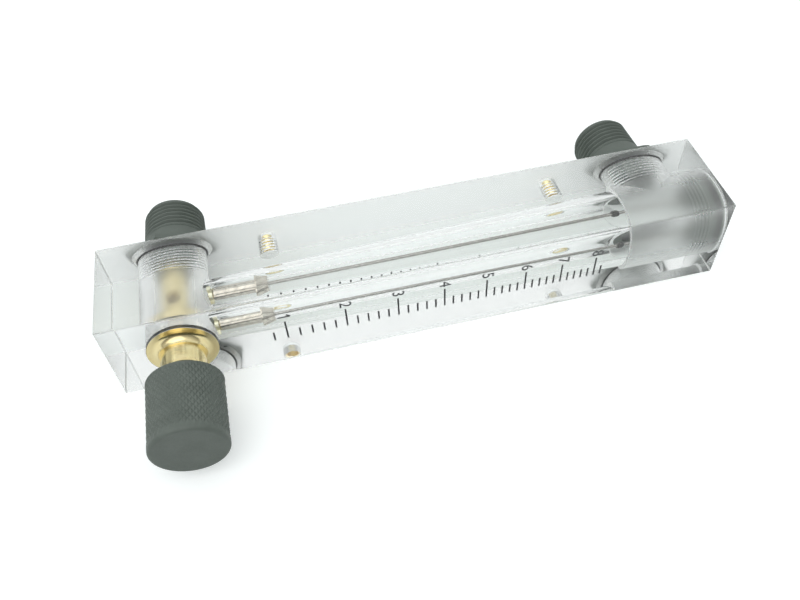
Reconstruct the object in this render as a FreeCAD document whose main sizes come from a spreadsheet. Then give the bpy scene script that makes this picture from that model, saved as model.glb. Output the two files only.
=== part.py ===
"""Rotameter: a clear acrylic block with a tapered metering bore, a guided float and a needle valve.

Frame: X runs along the flow from inlet to outlet, -Y is the front face with the valve and the
scale, +Y is the back face with the two pipe fittings, Z is up.  The block lies on its side face.
The origin is the middle of that face.  Lengths are in millimetres.
"""
import FreeCAD, Part
import os
import re
import Sketcher

# Driving dimensions.  Each one is a cell of the sheet and every feature below is tied to it.
SIZES = {
    # acrylic block
    "block_length": 203.2,
    "block_depth": 34.925,
    "block_height": 31.75,
    "edge_break": 0.3,
    # bores in the block, all with their axes at half its height
    "port_bore": 22.2,
    "port_countersink": 2.1,
    "inlet_from_end": 22.5,
    "outlet_from_end": 20.3,
    "bore_from_front": 14.3,
    "end_bore_depth": 32.8,
    "end_bore_chamfer": 0.8,
    "metering_small_bore": 11.3,
    "metering_large_bore": 19.3,
    # threaded inserts for panel mounting
    "first_insert_from_end": 54.0,
    "second_insert_from_end": 50.8,
    "insert_diameter": 6.2,
    "insert_root": 5.2,
    "insert_length": 7.0,
    "insert_recess": 0.1,
    "insert_bore": 4.0,
    "insert_ridges": 4,
    "insert_hole_extra": 1.4,
    # clearances
    "thread_clearance": 0.1,
    "running_clearance": 0.05,
    "seat_clearance": 0.02,
    "press_clearance": 0.01,
    "ring_clearance": 0.05,
    "face_gap": 0.1,
    # pipe fittings, the same at inlet and outlet
    "tail_length": 6.5,
    "fitting_bore": 14.0,
    "hex_flats": 27.0,
    "hex_height": 3.0,
    "hex_edge": 0.4,
    "inlet_hex_turn": 17.0,
    "outlet_hex_turn": 0.0,
    "collar_diameter": 20.9,
    "collar_length": 8.0,
    "pipe_thread_large": 21.1,
    "pipe_thread_small": 20.4,
    "pipe_thread_length": 13.4,
    "pipe_end_chamfer": 0.7,
    "port_ring_section": 1.8,
    "port_ring_mean": 21.2,
    "port_ring_depth": 1.0,
    # valve bonnet
    "flange_thickness": 1.3,
    "flange_recess": 0.1,
    "bonnet_groove_width": 1.9,
    "bonnet_groove_depth": 1.9,
    "bonnet_ring_section": 1.8,
    "bonnet_collar_length": 2.6,
    "sleeve_diameter": 13.6,
    "nose_overlap": 4.0,
    "nose_groove_width": 1.6,
    "nose_groove_depth": 1.2,
    "nose_ring_section": 1.3,
    "nose_land": 0.9,
    "neck_diameter": 14.0,
    "neck_length": 9.4,
    "neck_fillet": 0.8,
    "neck_chamfer": 0.5,
    "window_diameter": 5.4,
    "window_count": 4,
    "chamber_diameter": 8.6,
    "chamber_from_front": 7.0,
    # soft seat in the sleeve's nose
    "valve_seat_diameter": 10.0,
    "valve_seat_thickness": 2.4,
    "valve_seat_hole": 4.2,
    "valve_seat_depth": 7.0,
    # valve stem, drawn half way open
    "stem_diameter": 6.35,
    "stem_travel": 4.7625,
    "stem_in_knob": 16.0,
    "needle_length": 5.0,
    "needle_tip": 2.6,
    "stem_groove_width": 1.5,
    "stem_groove_bottom": 4.1,
    "stem_ring_section": 1.1,
    "stem_ring_from_neck_end": 6.0,
    "stem_slot_bottom": 5.0,
    "stem_stop_diameter": 8.2,
    "stem_stop_thickness": 0.8,
    "stem_stop_slot": 0.9,
    "stem_stop_opening": 4.4,
    # knob
    "knob_diameter": 23.4,
    "knob_length": 23.7,
    "knob_from_front": 12.4,
    "knob_front_round": 1.1,
    "knob_back_chamfer": 0.4,
    "knob_recess_diameter": 15.4,
    "knob_recess_depth": 2.0,
    "knob_bore_extra": 1.5,
    "set_screw_diameter": 4.0,
    "set_screw_sunk": 2.5,
    "set_screw_from_back": 9.0,
    "set_screw_socket": 2.0,
    "set_screw_socket_depth": 2.5,
    # end plug
    "plug_length": 5.8,
    "plug_recess": 0.2,
    "plug_rim": 0.9,
    "plug_groove_width": 1.9,
    "plug_groove_depth": 1.9,
    "plug_ring_section": 1.8,
    "plug_boss_diameter": 6.0,
    "plug_boss_length": 4.0,
    "plug_socket_flats": 8.0,
    "plug_socket_depth": 2.2,
    "rod_in_plug": 4.6,
    # guide rod, float and stops
    "rod_diameter": 2.0,
    "rod_guide_from_inlet": 10.5,
    "rod_guide_thickness": 1.2,
    "rod_guide_hub": 6.6,
    "rod_guide_legs": 3,
    "rod_guide_leg_width": 1.5,
    "rod_tail": 0.6,
    "float_gap": 0.05,
    "float_body_diameter": 7.4,
    "float_body_length": 13.8,
    "float_head_diameter": 12.1,
    "float_head_rim": 0.4,
    "float_head_length": 3.9,
    "float_head_top": 8.4,
    "float_edge": 0.5,
    "float_bore_clearance": 0.1,
    "upper_stop_diameter": 4.0,
    "upper_stop_length": 2.2,
    "upper_stop_edge": 0.4,
    "upper_stop_before_shoulder": 1.1,
}

# Places that several pieces share, each written once as an expression of the sizes above.
# "y" places are depths behind the front face, "x" places run from the middle of the block.
PLACES = {
    "axis_height": "block_height / 2",
    "insert_spacing": "block_length - first_insert_from_end - second_insert_from_end",
    "front_face": "-block_depth / 2",
    "back_face": "block_depth / 2",
    "inlet_x": "inlet_from_end - block_length / 2",
    "outlet_x": "block_length / 2 - outlet_from_end",
    "bore_line": "bore_from_front - block_depth / 2",
    "shoulder": "block_length - inlet_from_end - end_bore_depth",
    "bore_slope": "(metering_large_bore - metering_small_bore) / 2 / shoulder",
    "thread_radius": "port_bore / 2 - thread_clearance",
    "ring_limit": "port_bore / 2 - ring_clearance",
    "port_neck": "(port_ring_mean - port_ring_section) / 2 - ring_clearance",
    "hex_face": "tail_length + face_gap",
    "collar_end": "hex_face + hex_height + collar_length",
    "pipe_end": "collar_end + pipe_thread_length",
    "nose_depth": "block_depth - tail_length + nose_overlap",
    "flange_back": "nose_depth - flange_recess - flange_thickness",
    "bonnet_collar": "flange_back - bonnet_groove_width",
    "stem_bore": "stem_diameter / 2 + running_clearance",
    "seat_face": "nose_depth - valve_seat_depth",
    "needle_to_seat": "needle_length * (valve_seat_hole - needle_tip) / (stem_diameter - needle_tip)",
    "needle_depth": "seat_face + needle_to_seat - seat_clearance - stem_travel / 2",
    "stem_length": "needle_depth + knob_from_front + stem_in_knob",
    "stop_depth": "chamber_from_front + stem_travel / 2 + seat_clearance",
    "stop_slot_end": "needle_depth - stop_depth",
    "stem_ring_place": "needle_depth + neck_length - stem_ring_from_neck_end",
    "plug_x": "block_length / 2 - plug_recess - plug_length",
    "plug_face": "plug_boss_length + plug_length",
    "plug_groove": "plug_face - plug_rim - plug_groove_width",
    "guide_x": "inlet_x + rod_guide_from_inlet",
    "float_x": "guide_x + rod_guide_thickness + float_gap",
    "upper_stop_x": "inlet_x + shoulder - upper_stop_before_shoulder",
    "float_length": "float_body_length + float_head_length",
    "set_screw_length": "(knob_diameter - stem_diameter) / 2 - set_screw_sunk - seat_clearance",
}

ALONG_X = FreeCAD.Rotation(FreeCAD.Vector(0, 1, 0), 90)
INTO_BACK = FreeCAD.Rotation(FreeCAD.Vector(1, 0, 0), -90)
OUT_OF_FRONT = FreeCAD.Rotation(FreeCAD.Vector(1, 0, 0), 90)
DOWN = FreeCAD.Rotation(FreeCAD.Vector(1, 0, 0), 180)

DOC = FreeCAD.newDocument("rotameter")
SHEET = DOC.addObject("Spreadsheet::Sheet", "Sizes")


def fill_sheet():
    """Write every driving dimension into the sheet, each under its own alias."""
    for row, (name, size) in enumerate(SIZES.items(), start=1):
        SHEET.set("A%d" % row, name)
        SHEET.set("B%d" % row, str(size))
        SHEET.setAlias("B%d" % row, name)
    DOC.recompute()


def spell(text):
    """Turn a short expression into one that FreeCAD can follow to the sheet."""
    def word(match):
        name = match.group(0)
        if name in PLACES:
            return "(" + spell(PLACES[name]) + ")"
        return "Sizes." + name if name in SIZES else name
    return re.sub(r"[a-z_]+", word, text)


def number(text):
    """The present value of a short expression."""
    return float(SHEET.evalExpression(spell(text)))


def bind(thing, prop, text):
    thing.setExpression(prop, spell(text))


def origin_plane(body, role):
    for plane in body.Origin.OriginFeatures:
        if plane.Role == role:
            return plane
    raise ValueError(role)


def new_sketch(body, label, role, offset=("0", "0", "0")):
    """A sketch on one of the body's own origin planes, shifted within the plane's frame."""
    sketch = body.newObject("Sketcher::SketchObject", label)
    sketch.AttachmentSupport = [(origin_plane(body, role), "")]
    sketch.MapMode = "FlatFace"
    for letter, text in zip("xyz", offset):
        if text != "0":
            bind(sketch, "AttachmentOffset.Base." + letter, text)
    return sketch


def tie_corner(sketch, corner, across, along):
    """Hold one corner by its two coordinates; a zero puts it on the axis."""
    for kind, text, axis in (("DistanceX", across, -2), ("DistanceY", along, -1)):
        if text == "0":
            sketch.addConstraint(Sketcher.Constraint("PointOnObject", corner, 1, axis))
            continue
        row = sketch.addConstraint(Sketcher.Constraint(kind, -1, 1, corner, 1, number(text)))
        bind(sketch, "Constraints[%d]" % row, text)


def outline(body, label, role, corners, offset=("0", "0", "0")):
    """Closed sketch of straight sides through corners given as pairs of expressions."""
    sketch = new_sketch(body, label, role, offset)
    places = [FreeCAD.Vector(number(across), number(along), 0) for across, along in corners]
    for start, end in zip(places, places[1:] + places[:1]):
        sketch.addGeometry(Part.LineSegment(start, end), False)
    for corner in range(len(corners)):
        follower = (corner + 1) % len(corners)
        sketch.addConstraint(Sketcher.Constraint("Coincident", corner, 2, follower, 1))
    for corner, (across, along) in enumerate(corners):
        tie_corner(sketch, corner, across, along)
    return sketch


def circle(body, label, role, along, diameter, offset=("0", "0", "0")):
    """Sketch of one circle centred on the sketch's upright axis."""
    sketch = new_sketch(body, label, role, offset)
    centre = FreeCAD.Vector(0, number(along), 0)
    sketch.addGeometry(Part.Circle(centre, FreeCAD.Vector(0, 0, 1), number(diameter) / 2), False)
    sketch.addConstraint(Sketcher.Constraint("PointOnObject", 0, 3, -2))
    row = sketch.addConstraint(Sketcher.Constraint("DistanceY", -1, 1, 0, 3, number(along)))
    bind(sketch, "Constraints[%d]" % row, along)
    row = sketch.addConstraint(Sketcher.Constraint("Diameter", 0, number(diameter)))
    bind(sketch, "Constraints[%d]" % row, diameter)
    return sketch


def hexagon(body, label, flats, along):
    """Hexagon across the part's own axis, with a corner on the sketch's upright axis."""
    corner = "(%s) / 2 / cos(30)" % flats
    half = "(%s) / 2" % flats
    tall = "(%s) / 4 / cos(30)" % flats
    corners = [
        ("0", corner),
        ("-" + half, tall),
        ("-" + half, "-" + tall),
        ("0", "-" + corner),
        (half, "-" + tall),
        (half, tall),
    ]
    return outline(body, label, "XY_Plane", corners, ("0", "0", along))


def seat(piece, place, rotation):
    """Put a piece in the meter: rotation first, then its origin on the three expressions."""
    piece.Placement = FreeCAD.Placement(FreeCAD.Vector(0, 0, 0), rotation)
    for letter, text in zip("xyz", place):
        bind(piece, "Placement.Base." + letter, text)
    return piece


def new_body(name):
    body = DOC.addObject("PartDesign::Body", name)
    body.Label = name
    return body


def turned(name, profile):
    """Body turned about its own Z axis from (radius, height) corners."""
    body = new_body(name)
    sketch = outline(body, name + "_profile", "XZ_Plane", profile)
    revolution = body.newObject("PartDesign::Revolution", name + "_turned")
    revolution.Profile = sketch
    revolution.ReferenceAxis = (sketch, ["V_Axis"])
    revolution.Angle = 360
    return body


def extrude(body, kind, sketch, depth, reverse=False):
    """Pad or pocket of a sketch; a pocket has to take material away."""
    feature = body.newObject("PartDesign::" + kind, sketch.Name + "_" + kind.lower())
    feature.Profile = sketch
    feature.Type = "Length"
    feature.Reversed = reverse
    bind(feature, "Length", depth)
    return feature


def groove(body, sketch, axis):
    feature = body.newObject("PartDesign::Groove", sketch.Name + "_cut")
    feature.Profile = sketch
    feature.ReferenceAxis = (sketch, [axis])
    feature.Angle = 360
    return feature


def ring_pattern(body, feature, count):
    """Repeat a feature evenly round the body's own Z axis."""
    pattern = body.newObject("PartDesign::PolarPattern", feature.Name + "_ring")
    pattern.Originals = [feature]
    axis = [line for line in body.Origin.OriginFeatures if line.Role == "Z_Axis"][0]
    pattern.Axis = (axis, [""])
    pattern.Angle = 360
    bind(pattern, "Occurrences", count)
    body.Tip = pattern
    return pattern


def row_pattern(body, feature, sketch, length):
    """Repeat a feature once more, a length further along the sketch's flat axis."""
    pattern = body.newObject("PartDesign::LinearPattern", feature.Name + "_row")
    pattern.Originals = [feature]
    pattern.Direction = (sketch, ["H_Axis"])
    pattern.Occurrences = 2
    bind(pattern, "Length", length)
    body.Tip = pattern
    return pattern


def dress(body, kind, size, chosen):
    """Fillet or chamfer those edges of the body so far that the test picks."""
    DOC.recompute()
    base = body.Tip
    edges = enumerate(base.Shape.Edges, 1)
    names = ["Edge%d" % place for place, edge in edges if chosen(edge)]
    feature = body.newObject("PartDesign::" + kind, "%s_%s" % (body.Name, kind.lower()))
    feature.Base = (base, names)
    bind(feature, "Radius" if kind == "Fillet" else "Size", size)
    return feature


def is_rim(edge, radius, height):
    """Whether an edge is a full circle of that radius at that height on the Z axis."""
    curve = edge.Curve
    if not isinstance(curve, Part.Circle) or abs(curve.Radius - number(radius)) > 1e-4:
        return False
    return abs(curve.Center.z - number(height)) < 1e-4


def is_straight(edge, height):
    """Whether an edge is a straight one that lies at that height."""
    if not isinstance(edge.Curve, Part.Line):
        return False
    return all(abs(end.Z - number(height)) < 1e-4 for end in edge.Vertexes)


def o_ring(name, mean_radius, section, place, rotation):
    """Seal ring: a torus in its groove, as squeezed by the bore round it."""
    ring = DOC.addObject("Part::Torus", name)
    ring.Label = name
    bind(ring, "Radius1", mean_radius)
    bind(ring, "Radius2", "(%s) / 2" % section)
    return seat(ring, place, rotation)


def cylinder(name, radius, height):
    solid = DOC.addObject("Part::Cylinder", name)
    bind(solid, "Radius", radius)
    bind(solid, "Height", height)
    return solid


def boolean(name, kind, base, tool):
    result = DOC.addObject("Part::" + kind, name)
    result.Base = base
    result.Tool = tool
    return result


def make_block():
    """Clear block: two cross ports, the tapered metering bore, the end bore and insert holes."""
    body = new_body("block")
    half_length = "block_length / 2"
    half_depth = "block_depth / 2"
    corners = [
        ("-" + half_length, "-" + half_depth),
        (half_length, "-" + half_depth),
        (half_length, half_depth),
        ("-" + half_length, half_depth),
    ]
    extrude(body, "Pad", outline(body, "block_plan", "XY_Plane", corners), "block_height")
    dress(body, "Chamfer", "edge_break", lambda edge: True)

    # Inlet port: right through from the valve to the fitting, countersunk for the fitting's seal.
    inlet = [
        ("0", "0"),
        ("port_bore / 2", "0"),
        ("port_bore / 2", "block_depth - port_countersink"),
        ("port_bore / 2 + port_countersink", "block_depth"),
        ("0", "block_depth"),
    ]
    offset = ("inlet_x", "front_face", "axis_height")
    groove(body, outline(body, "inlet_port", "XY_Plane", inlet, offset), "V_Axis")

    # Outlet port: from the back face in to the line of the metering bore.
    outlet_length = "(block_depth - bore_from_front)"
    outlet = [
        ("0", "0"),
        ("port_bore / 2", "0"),
        ("port_bore / 2", outlet_length + " - port_countersink"),
        ("port_bore / 2 + port_countersink", outlet_length),
        ("0", outlet_length),
    ]
    offset = ("outlet_x", "bore_line", "axis_height")
    groove(body, outline(body, "outlet_port", "XY_Plane", outlet, offset), "V_Axis")

    # Metering bore: widens evenly from the inlet port to a shoulder, then the end bore runs out.
    outlet_end = "(block_length - inlet_from_end)"
    along = [
        ("0", "0"),
        ("0", "metering_small_bore / 2"),
        ("shoulder", "metering_large_bore / 2"),
        ("shoulder", "port_bore / 2"),
        (outlet_end + " - end_bore_chamfer", "port_bore / 2"),
        (outlet_end, "port_bore / 2 + end_bore_chamfer"),
        (outlet_end, "0"),
    ]
    offset = ("inlet_x", "bore_line", "axis_height")
    groove(body, outline(body, "metering_bore", "XY_Plane", along, offset), "H_Axis")

    # Two blind holes for the threaded inserts.
    hole_depth = "(insert_recess + insert_length + insert_hole_extra)"
    hole = [
        ("0", "0"),
        ("insert_diameter / 2 + running_clearance", "0"),
        ("insert_diameter / 2 + running_clearance", hole_depth),
        ("0", hole_depth),
    ]
    first_x = "first_insert_from_end - block_length / 2"
    offset = (first_x, "back_face - " + hole_depth, "axis_height")
    sketch = outline(body, "insert_hole", "XY_Plane", hole, offset)
    row_pattern(body, groove(body, sketch, "V_Axis"), sketch, "insert_spacing")
    return body


def make_inserts():
    """Two brass inserts with sharp self-cutting ridges outside and a screw thread inside."""
    ridges = int(number("insert_ridges"))
    profile = [("insert_bore / 2", "0")]
    for ridge in range(ridges):
        valley = "insert_length * %d / insert_ridges" % ridge
        profile.append(("insert_root / 2", valley if ridge else "0"))
        profile.append(("insert_diameter / 2", "insert_length * %.1f / insert_ridges" % (ridge + 0.5)))
    profile.append(("insert_root / 2", "insert_length"))
    profile.append(("insert_bore / 2", "insert_length"))
    body = turned("mounting_inserts", profile)
    body.AllowCompound = True
    row_pattern(body, body.Tip, body.Tip.Profile[0], "insert_spacing")
    first_x = "first_insert_from_end - block_length / 2"
    place = (first_x, "back_face - insert_recess - insert_length", "axis_height")
    return seat(body, place, INTO_BACK)


def make_fitting(name, x_place, turn):
    """Male pipe adapter: port thread, seal neck, thin hexagon, collar and tapered pipe thread."""
    profile = [
        ("0", "0"),
        ("thread_radius", "0"),
        ("thread_radius", "tail_length - port_countersink"),
        ("port_neck", "tail_length - port_countersink"),
        ("port_neck", "hex_face"),
        ("collar_diameter / 2", "hex_face"),
        ("collar_diameter / 2", "collar_end"),
        ("pipe_thread_large / 2", "collar_end"),
        ("pipe_thread_small / 2", "pipe_end - pipe_end_chamfer"),
        ("pipe_thread_small / 2 - pipe_end_chamfer", "pipe_end"),
        ("0", "pipe_end"),
    ]
    body = turned(name, profile)
    extrude(body, "Pad", hexagon(body, name + "_hex", "hex_flats", "hex_face"), "hex_height")
    dress(body, "Chamfer", "hex_edge", lambda edge: is_straight(edge, "hex_face + hex_height"))
    bore = [
        ("0", "0"),
        ("fitting_bore / 2", "0"),
        ("fitting_bore / 2", "pipe_end"),
        ("0", "pipe_end"),
    ]
    groove(body, outline(body, name + "_bore", "XZ_Plane", bore), "V_Axis")
    rotation = INTO_BACK.multiply(FreeCAD.Rotation(FreeCAD.Vector(0, 0, 1), number(turn)))
    return seat(body, (x_place, "back_face - tail_length", "axis_height"), rotation)


def make_port_ring(name, x_place):
    """Seal squeezed between the fitting's neck and the countersink of its port."""
    place = (x_place, "back_face - port_ring_depth", "axis_height")
    return o_ring(name, "port_ring_mean / 2", "port_ring_section", place, INTO_BACK)


def make_bonnet():
    """Brass valve body from the sleeve's nose to the neck outside, bored for seat and stem."""
    profile = [
        ("valve_seat_diameter / 2", "0"),
        ("sleeve_diameter / 2", "0"),
        ("sleeve_diameter / 2", "nose_land"),
        ("sleeve_diameter / 2 - nose_groove_depth", "nose_land"),
        ("sleeve_diameter / 2 - nose_groove_depth", "nose_land + nose_groove_width"),
        ("sleeve_diameter / 2", "nose_land + nose_groove_width"),
        ("sleeve_diameter / 2", "bonnet_collar - bonnet_collar_length"),
        ("thread_radius", "bonnet_collar - bonnet_collar_length"),
        ("thread_radius", "bonnet_collar"),
        ("thread_radius - bonnet_groove_depth", "bonnet_collar"),
        ("thread_radius - bonnet_groove_depth", "flange_back"),
        ("thread_radius", "flange_back"),
        ("thread_radius", "nose_depth - flange_recess"),
        ("neck_diameter / 2", "nose_depth - flange_recess"),
        ("neck_diameter / 2", "nose_depth + neck_length"),
        ("stem_bore", "nose_depth + neck_length"),
        ("stem_bore", "nose_depth - chamber_from_front"),
        ("chamber_diameter / 2", "nose_depth - chamber_from_front"),
        ("chamber_diameter / 2", "valve_seat_depth"),
        ("valve_seat_diameter / 2", "valve_seat_depth"),
    ]
    body = turned("valve_bonnet", profile)
    foot = ("neck_diameter / 2", "nose_depth - flange_recess")
    dress(body, "Fillet", "neck_fillet", lambda edge: is_rim(edge, *foot))
    mouth = ("neck_diameter / 2", "nose_depth + neck_length")
    dress(body, "Chamfer", "neck_chamfer", lambda edge: is_rim(edge, *mouth))
    # Windows let the flow out of the sleeve in line with the metering bore.
    window = circle(body, "flow_window", "YZ_Plane", "nose_depth - bore_from_front", "window_diameter")
    ring_pattern(body, extrude(body, "Pocket", window, "sleeve_diameter"), "window_count")
    return seat(body, ("inlet_x", "front_face + nose_depth", "axis_height"), OUT_OF_FRONT)


def make_valve_seat():
    """Soft seat ring pressed into the nose; the needle closes its hole."""
    profile = [
        ("valve_seat_hole / 2", "0"),
        ("valve_seat_diameter / 2 - press_clearance", "0"),
        ("valve_seat_diameter / 2 - press_clearance", "valve_seat_thickness"),
        ("valve_seat_hole / 2", "valve_seat_thickness"),
    ]
    place = ("inlet_x", "front_face + seat_face + valve_seat_thickness", "axis_height")
    return seat(turned("valve_seat", profile), place, OUT_OF_FRONT)


def make_stem():
    """Valve stem: needle, slot for the stop ring, groove for its seal and a plain end for the knob."""
    slot = "stem_stop_slot"
    half_groove = "stem_groove_width / 2"
    profile = [
        ("0", "0"),
        ("needle_tip / 2", "0"),
        ("stem_diameter / 2", "needle_length"),
        ("stem_diameter / 2", "stop_slot_end - " + slot),
        ("stem_slot_bottom / 2", "stop_slot_end - " + slot),
        ("stem_slot_bottom / 2", "stop_slot_end"),
        ("stem_diameter / 2", "stop_slot_end"),
        ("stem_diameter / 2", "stem_ring_place - " + half_groove),
        ("stem_groove_bottom / 2", "stem_ring_place - " + half_groove),
        ("stem_groove_bottom / 2", "stem_ring_place + " + half_groove),
        ("stem_diameter / 2", "stem_ring_place + " + half_groove),
        ("stem_diameter / 2", "stem_length"),
        ("0", "stem_length"),
    ]
    place = ("inlet_x", "front_face + needle_depth", "axis_height")
    return seat(turned("valve_stem", profile), place, OUT_OF_FRONT)


def make_stem_stop():
    """Open spring ring in the stem's slot; it meets the bonnet when the valve is fully open."""
    disc = cylinder("stem_stop_disc", "stem_stop_diameter / 2", "stem_stop_thickness")
    hole = cylinder("stem_stop_hole", "stem_slot_bottom / 2 + seat_clearance", "stem_stop_thickness")
    mouth = DOC.addObject("Part::Box", "stem_stop_mouth")
    bind(mouth, "Length", "stem_stop_diameter")
    bind(mouth, "Width", "stem_stop_opening")
    bind(mouth, "Height", "stem_stop_thickness")
    bind(mouth, "Placement.Base.y", "-stem_stop_opening / 2")
    closed = boolean("stem_stop_closed", "Cut", disc, hole)
    ring = boolean("stem_retaining_ring", "Cut", closed, mouth)
    ring.Label = "stem_retaining_ring"
    middle = "(stem_stop_slot - stem_stop_thickness) / 2"
    place = ("inlet_x", "front_face + stop_depth + stem_stop_slot - " + middle, "axis_height")
    return seat(ring, place, OUT_OF_FRONT)


def make_knob():
    """Round knob: recessed back, blind bore for the stem, rounded front rim, set screw hole."""
    bore_radius = "stem_diameter / 2 + press_clearance"
    bore_depth = "stem_in_knob + knob_bore_extra"
    profile = [
        (bore_radius, "knob_recess_depth"),
        ("knob_recess_diameter / 2", "knob_recess_depth"),
        ("knob_recess_diameter / 2", "0"),
        ("knob_diameter / 2 - knob_back_chamfer", "0"),
        ("knob_diameter / 2", "knob_back_chamfer"),
        ("knob_diameter / 2", "knob_length"),
        ("0", "knob_length"),
        ("0", bore_depth),
        (bore_radius, bore_depth),
    ]
    body = turned("knob", profile)
    rim = ("knob_diameter / 2", "knob_length")
    dress(body, "Fillet", "knob_front_round", lambda edge: is_rim(edge, *rim))
    hole = circle(body, "set_screw_hole", "XZ_Plane", "set_screw_from_back", "set_screw_diameter")
    extrude(body, "Pocket", hole, "knob_diameter", True)
    return seat(body, ("inlet_x", "front_face - knob_from_front", "axis_height"), OUT_OF_FRONT)


def make_set_screw():
    """Socket set screw that grips the stem from below."""
    profile = [
        ("0", "0"),
        ("set_screw_diameter / 2 - press_clearance", "0"),
        ("set_screw_diameter / 2 - press_clearance", "set_screw_length"),
        ("0", "set_screw_length"),
    ]
    body = turned("knob_set_screw", profile)
    socket_floor = "set_screw_length - set_screw_socket_depth"
    socket = hexagon(body, "set_screw_hex", "set_screw_socket", socket_floor)
    extrude(body, "Pocket", socket, "set_screw_socket_depth", True)
    place = (
        "inlet_x",
        "front_face - knob_from_front - set_screw_from_back",
        "axis_height - stem_diameter / 2 - seat_clearance",
    )
    return seat(body, place, DOWN)


def make_end_plug():
    """Plug of the end bore: boss that holds the rod, thread, seal groove, rim and hexagon socket."""
    rod_hole = "rod_diameter / 2 + press_clearance"
    profile = [
        (rod_hole, "0"),
        ("plug_boss_diameter / 2", "0"),
        ("plug_boss_diameter / 2", "plug_boss_length"),
        ("thread_radius", "plug_boss_length"),
        ("thread_radius", "plug_groove"),
        ("thread_radius - plug_groove_depth", "plug_groove"),
        ("thread_radius - plug_groove_depth", "plug_groove + plug_groove_width"),
        ("thread_radius", "plug_groove + plug_groove_width"),
        ("thread_radius", "plug_face"),
        ("0", "plug_face"),
        ("0", "rod_in_plug"),
        (rod_hole, "rod_in_plug"),
    ]
    body = turned("end_plug", profile)
    socket = hexagon(body, "plug_hex", "plug_socket_flats", "plug_face - plug_socket_depth")
    extrude(body, "Pocket", socket, "plug_socket_depth", True)
    return seat(body, ("plug_x - plug_boss_length", "bore_line", "axis_height"), ALONG_X)


def make_rod():
    """Straight rod from the three-legged guide to the plug, along the metering bore's axis."""
    start = "(guide_x - rod_tail)"
    end = "(plug_x - plug_boss_length + rod_in_plug)"
    rod = cylinder("guide_rod", "rod_diameter / 2", end + " - " + start + " - face_gap")
    rod.Label = "guide_rod"
    return seat(rod, (start, "bore_line", "axis_height"), ALONG_X)


def make_rod_guide():
    """Hub with three legs, cut to the taper of the metering bore so that it wedges there."""
    reach = "(metering_small_bore / 2 + bore_slope * rod_guide_from_inlet - seat_clearance)"
    pieces = [cylinder("guide_hub", "rod_guide_hub / 2", "rod_guide_thickness")]
    legs = int(number("rod_guide_legs"))
    for leg in range(legs):
        bar = DOC.addObject("Part::Box", "guide_leg_%d" % (leg + 1))
        bind(bar, "Length", "metering_large_bore / 2")
        bind(bar, "Width", "rod_guide_leg_width")
        bind(bar, "Height", "rod_guide_thickness")
        turn = FreeCAD.Rotation(FreeCAD.Vector(0, 0, 1), 180 + 360 * leg / legs)
        side = turn.multVec(FreeCAD.Vector(0, -1, 0))
        half_width = "rod_guide_leg_width / 2 * %.6f"
        seat(bar, (half_width % side.x, half_width % side.y, "0"), turn)
        pieces.append(bar)
    star = DOC.addObject("Part::MultiFuse", "guide_star")
    star.Shapes = pieces
    taper = DOC.addObject("Part::Cone", "guide_taper")
    bind(taper, "Radius1", reach)
    bind(taper, "Radius2", reach + " + bore_slope * rod_guide_thickness")
    bind(taper, "Height", "rod_guide_thickness")
    fitted = boolean("guide_fitted", "Common", star, taper)
    hole = cylinder("guide_hole", "rod_diameter / 2 + press_clearance", "rod_guide_thickness")
    guide = boolean("rod_guide", "Cut", fitted, hole)
    guide.Label = "rod_guide"
    return seat(guide, ("guide_x", "bore_line", "axis_height"), ALONG_X)


def make_float():
    """Float: long body, then a head that is widest at its lower rim and narrows downstream."""
    bore = "rod_diameter / 2 + float_bore_clearance"
    profile = [
        (bore, "0"),
        ("float_body_diameter / 2 - float_edge", "0"),
        ("float_body_diameter / 2", "float_edge"),
        ("float_body_diameter / 2", "float_body_length"),
        ("float_head_diameter / 2", "float_body_length"),
        ("float_head_diameter / 2", "float_body_length + float_head_rim"),
        ("float_head_top / 2", "float_length"),
        (bore, "float_length"),
    ]
    return seat(turned("float", profile), ("float_x", "bore_line", "axis_height"), ALONG_X)


def make_upper_stop():
    """Small collar on the rod that ends the float's travel."""
    bore = "rod_diameter / 2 + press_clearance"
    profile = [
        (bore, "0"),
        ("upper_stop_diameter / 2 - upper_stop_edge", "0"),
        ("upper_stop_diameter / 2", "upper_stop_edge"),
        ("upper_stop_diameter / 2", "upper_stop_length - upper_stop_edge"),
        ("upper_stop_diameter / 2 - upper_stop_edge", "upper_stop_length"),
        (bore, "upper_stop_length"),
    ]
    return seat(turned("upper_float_stop", profile), ("upper_stop_x", "bore_line", "axis_height"), ALONG_X)


def make_groove_rings():
    """Seals that sit in grooves: behind the flange, on the nose, on the stem and on the plug."""
    on_valve = ("inlet_x", "axis_height")
    bonnet_depth = "front_face + flange_recess + flange_thickness + bonnet_groove_width / 2"
    nose_depth = "front_face + nose_depth - nose_land - nose_groove_width / 2"
    stem_depth = "front_face - neck_length + stem_ring_from_neck_end"
    plug_place = "plug_x - plug_boss_length + plug_groove + plug_groove_width / 2"
    bonnet_mean = "ring_limit - bonnet_ring_section / 2"
    nose_mean = "fitting_bore / 2 - ring_clearance - nose_ring_section / 2"
    stem_mean = "stem_groove_bottom / 2 + seat_clearance + stem_ring_section / 2"
    plug_mean = "ring_limit - plug_ring_section / 2"
    rows = [
        ("bonnet_o_ring", bonnet_mean, "bonnet_ring_section", bonnet_depth),
        ("nose_o_ring", nose_mean, "nose_ring_section", nose_depth),
        ("stem_o_ring", stem_mean, "stem_ring_section", stem_depth),
    ]
    rings = []
    for name, mean, section, depth in rows:
        place = (on_valve[0], depth, on_valve[1])
        rings.append(o_ring(name, mean, section, place, OUT_OF_FRONT))
    place = (plug_place, "bore_line", "axis_height")
    rings.append(o_ring("end_plug_o_ring", plug_mean, "plug_ring_section", place, ALONG_X))
    return rings


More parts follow.
